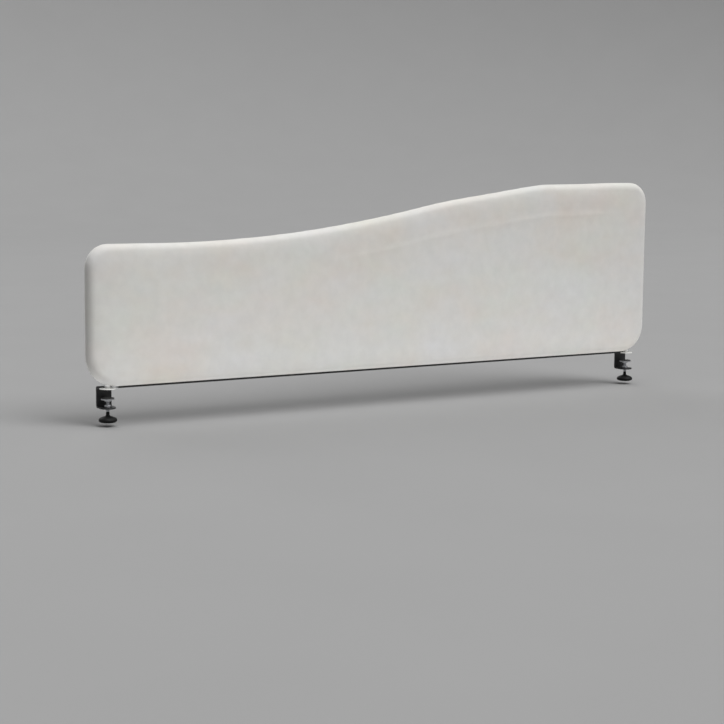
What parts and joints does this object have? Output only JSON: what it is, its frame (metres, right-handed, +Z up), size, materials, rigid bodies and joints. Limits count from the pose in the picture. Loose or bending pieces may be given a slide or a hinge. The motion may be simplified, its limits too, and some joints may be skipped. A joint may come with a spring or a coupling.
{
  "type": "desk screen",
  "caption": "Fabric-covered padded desk screen with a wave-shaped top edge and soft round edges, held on a desktop's back edge by screw clamps with black knobs.",
  "frame": {"origin": "on the desktop's upper face, at its back edge, halfway along the screen", "axes": "+X along the screen towards its high end, +Y away from the user at the desk, +Z up"},
  "size_m": [1.6, 0.044, 0.5297],
  "materials": {
    "cover_cloth": "matt felted wool-look cloth, light warm grey",
    "foam": "open-cell upholstery foam",
    "plywood": "sanded plywood, uncoated",
    "infill_board": "pressed polyester fibre board",
    "closing_plastic": "extruded, matt black",
    "staple_wire": "galvanised wire",
    "insert_metal": "plain brass",
    "clamp_steel": "satin black powder coat",
    "plated_steel": "bright zinc plate",
    "post_metal": "satin",
    "foot_plastic": "satin, off-white",
    "knob_plastic": "fine matt grain, black",
    "pad_rubber": "matt"
  },
  "bodies": {
    "screen": {"fabric_cover": "cover_cloth", "front_foam": "foam", "back_foam": "foam", "bottom_rail": "plywood", "top_rail": "plywood", "left_end_stile": "plywood", "left_middle_stile": "plywood", "right_middle_stile": "plywood", "right_end_stile": "plywood", "left_infill": "infill_board", "middle_infill": "infill_board", "right_infill": "infill_board", "dowels": "plywood", "closing_profile": "closing_plastic", "staples": "staple_wire", "threaded_inserts": "insert_metal", "left_clamp_frame": "clamp_steel", "left_weld_nut": "plated_steel", "left_foot": "foot_plastic", "left_post": "post_metal", "left_post_screw": "plated_steel", "right_clamp_frame": "clamp_steel", "right_weld_nut": "plated_steel", "right_foot": "foot_plastic", "right_post": "post_metal", "right_post_screw": "plated_steel"},
    "left_pad": {"left_pressure_pad": "plated_steel", "left_pad_rubber": "pad_rubber"},
    "left_screw": {"left_clamp_screw": "plated_steel", "left_knob": "knob_plastic"},
    "right_pad": {"right_pressure_pad": "plated_steel", "right_pad_rubber": "pad_rubber"},
    "right_screw": {"right_clamp_screw": "plated_steel", "right_knob": "knob_plastic"}
  },
  "joints": [
    {"name": "left_pad_slide", "type": "slide", "parent": "screen", "child": "left_pad", "axis": [0, 0, 1], "range_m": [-0.00801, 0.00601]},
    {"name": "left_screw_turn", "type": "hinge", "parent": "left_pad", "child": "left_screw", "pos_m": [-0.75, -0.02, -0.026], "axis": [0, 0, 1], "range_deg": [-2304, 1728]},
    {"name": "right_pad_slide", "type": "slide", "parent": "screen", "child": "right_pad", "axis": [0, 0, 1], "range_m": [-0.00801, 0.00601]},
    {"name": "right_screw_turn", "type": "hinge", "parent": "right_pad", "child": "right_screw", "pos_m": [0.75, -0.02, -0.026], "axis": [0, 0, 1], "range_deg": [-2304, 1728]}
  ],
  "couplings": [
    {"joint": "left_pad_slide", "follows": "left_screw_turn", "m_per_rad": 0.00019894},
    {"joint": "right_pad_slide", "follows": "right_screw_turn", "m_per_rad": 0.00019894}
  ]
}
